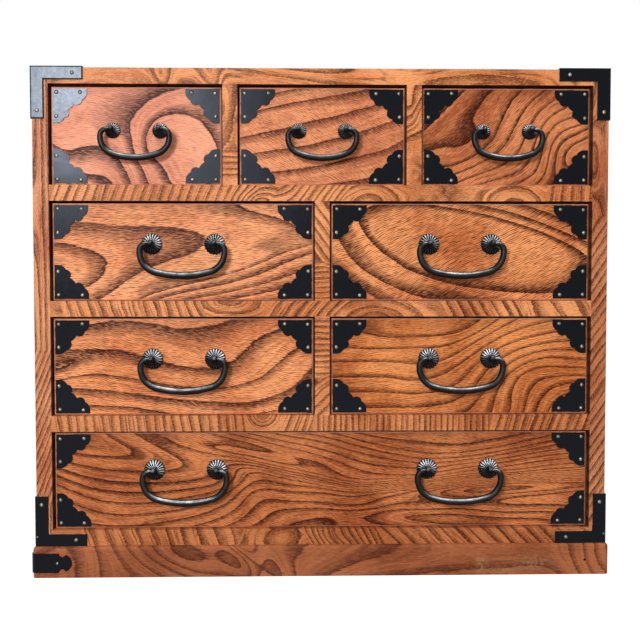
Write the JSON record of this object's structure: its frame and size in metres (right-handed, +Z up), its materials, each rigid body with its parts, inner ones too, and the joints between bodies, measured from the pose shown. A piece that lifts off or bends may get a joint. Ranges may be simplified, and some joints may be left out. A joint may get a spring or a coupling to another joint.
{
  "type": "small tansu chest",
  "caption": "Small wooden chest on a plinth with sliding drawers in rows, iron corner plates and hanging bail handles.",
  "frame": {"origin": "middle of the plinth's footprint, on the floor", "axes": "+Z up, the drawers face and open towards -Y, +X to the right seen from the front"},
  "size_m": [0.481, 0.3073, 0.421],
  "materials": {
    "keyaki": "satin",
    "back_wood": "matte",
    "drawer_wood": "matte",
    "black_iron": "satin",
    "black_plate": "satin"
  },
  "bodies": {
    "case": {"case_left_side": "keyaki", "case_right_side": "keyaki", "case_top": "keyaki", "case_bottom": "back_wood", "case_back": "back_wood", "upper_shelf": "back_wood", "middle_shelf": "back_wood", "lower_shelf": "back_wood", "top_row_dividers": "back_wood", "centre_dividers": "back_wood", "stile_facings": "keyaki", "rail_facings": "keyaki", "divider_facings": "keyaki", "plinth_front": "keyaki", "plinth_returns": "keyaki", "corner_brackets": "black_plate", "plinth_strap": "black_plate"},
    "top_left_drawer": {"top_left_drawer_front": "keyaki", "top_left_drawer_box": "drawer_wood", "top_left_corner_plates": "black_plate", "top_left_handle_mounts": "black_iron"},
    "top_left_handle": {"top_left_bail": "black_iron"},
    "top_middle_drawer": {"top_middle_drawer_front": "keyaki", "top_middle_drawer_box": "drawer_wood", "top_middle_corner_plates": "black_plate", "top_middle_handle_mounts": "black_iron"},
    "top_middle_handle": {"top_middle_bail": "black_iron"},
    "top_right_drawer": {"top_right_drawer_front": "keyaki", "top_right_drawer_box": "drawer_wood", "top_right_corner_plates": "black_plate", "top_right_handle_mounts": "black_iron"},
    "top_right_handle": {"top_right_bail": "black_iron"},
    "upper_left_drawer": {"upper_left_drawer_front": "keyaki", "upper_left_drawer_box": "drawer_wood", "upper_left_corner_plates": "black_plate", "upper_left_handle_mounts": "black_iron"},
    "upper_left_handle": {"upper_left_bail": "black_iron"},
    "upper_right_drawer": {"upper_right_drawer_front": "keyaki", "upper_right_drawer_box": "drawer_wood", "upper_right_corner_plates": "black_plate", "upper_right_handle_mounts": "black_iron"},
    "upper_right_handle": {"upper_right_bail": "black_iron"},
    "lower_left_drawer": {"lower_left_drawer_front": "keyaki", "lower_left_drawer_box": "drawer_wood", "lower_left_corner_plates": "black_plate", "lower_left_handle_mounts": "black_iron"},
    "lower_left_handle": {"lower_left_bail": "black_iron"},
    "lower_right_drawer": {"lower_right_drawer_front": "keyaki", "lower_right_drawer_box": "drawer_wood", "lower_right_corner_plates": "black_plate", "lower_right_handle_mounts": "black_iron"},
    "lower_right_handle": {"lower_right_bail": "black_iron"},
    "bottom_drawer": {"bottom_drawer_front": "keyaki", "bottom_drawer_box": "drawer_wood", "bottom_corner_plates": "black_plate", "bottom_handle_mounts": "black_iron"},
    "bottom_left_handle": {"bottom_left_bail": "black_iron"},
    "bottom_right_handle": {"bottom_right_bail": "black_iron"}
  },
  "joints": [
    {"name": "top_left_slide", "type": "slide", "parent": "case", "child": "top_left_drawer", "axis": [0, -1, 0], "range_m": [0, 0.2]},
    {"name": "top_left_bail_swing", "type": "hinge", "parent": "top_left_drawer", "child": "top_left_handle", "pos_m": [-0.15295, -0.1525, 0.36975], "axis": [-1, 0, 0], "range_deg": [-12, 150]},
    {"name": "top_middle_slide", "type": "slide", "parent": "case", "child": "top_middle_drawer", "axis": [0, -1, 0], "range_m": [0, 0.2]},
    {"name": "top_middle_bail_swing", "type": "hinge", "parent": "top_middle_drawer", "child": "top_middle_handle", "pos_m": [0, -0.1525, 0.36975], "axis": [-1, 0, 0], "range_deg": [-12, 150]},
    {"name": "top_right_slide", "type": "slide", "parent": "case", "child": "top_right_drawer", "axis": [0, -1, 0], "range_m": [0, 0.2]},
    {"name": "top_right_bail_swing", "type": "hinge", "parent": "top_right_drawer", "child": "top_right_handle", "pos_m": [0.15295, -0.1525, 0.36975], "axis": [-1, 0, 0], "range_deg": [-12, 150]},
    {"name": "upper_left_slide", "type": "slide", "parent": "case", "child": "upper_left_drawer", "axis": [0, -1, 0], "range_m": [0, 0.2]},
    {"name": "upper_left_bail_swing", "type": "hinge", "parent": "upper_left_drawer", "child": "upper_left_handle", "pos_m": [-0.11507, -0.1525, 0.2765], "axis": [-1, 0, 0], "range_deg": [-12, 150]},
    {"name": "upper_right_slide", "type": "slide", "parent": "case", "child": "upper_right_drawer", "axis": [0, -1, 0], "range_m": [0, 0.2]},
    {"name": "upper_right_bail_swing", "type": "hinge", "parent": "upper_right_drawer", "child": "upper_right_handle", "pos_m": [0.11507, -0.1525, 0.2765], "axis": [-1, 0, 0], "range_deg": [-12, 150]},
    {"name": "lower_left_slide", "type": "slide", "parent": "case", "child": "lower_left_drawer", "axis": [0, -1, 0], "range_m": [0, 0.2]},
    {"name": "lower_left_bail_swing", "type": "hinge", "parent": "lower_left_drawer", "child": "lower_left_handle", "pos_m": [-0.11507, -0.1525, 0.18125], "axis": [-1, 0, 0], "range_deg": [-12, 150]},
    {"name": "lower_right_slide", "type": "slide", "parent": "case", "child": "lower_right_drawer", "axis": [0, -1, 0], "range_m": [0, 0.2]},
    {"name": "lower_right_bail_swing", "type": "hinge", "parent": "lower_right_drawer", "child": "lower_right_handle", "pos_m": [0.11507, -0.1525, 0.18125], "axis": [-1, 0, 0], "range_deg": [-12, 150]},
    {"name": "bottom_slide", "type": "slide", "parent": "case", "child": "bottom_drawer", "axis": [0, -1, 0], "range_m": [0, 0.2]},
    {"name": "bottom_left_bail_swing", "type": "hinge", "parent": "bottom_drawer", "child": "bottom_left_handle", "pos_m": [-0.114, -0.1525, 0.0883], "axis": [-1, 0, 0], "range_deg": [-12, 150]},
    {"name": "bottom_right_bail_swing", "type": "hinge", "parent": "bottom_drawer", "child": "bottom_right_handle", "pos_m": [0.114, -0.1525, 0.0883], "axis": [-1, 0, 0], "range_deg": [-12, 150]}
  ]
}
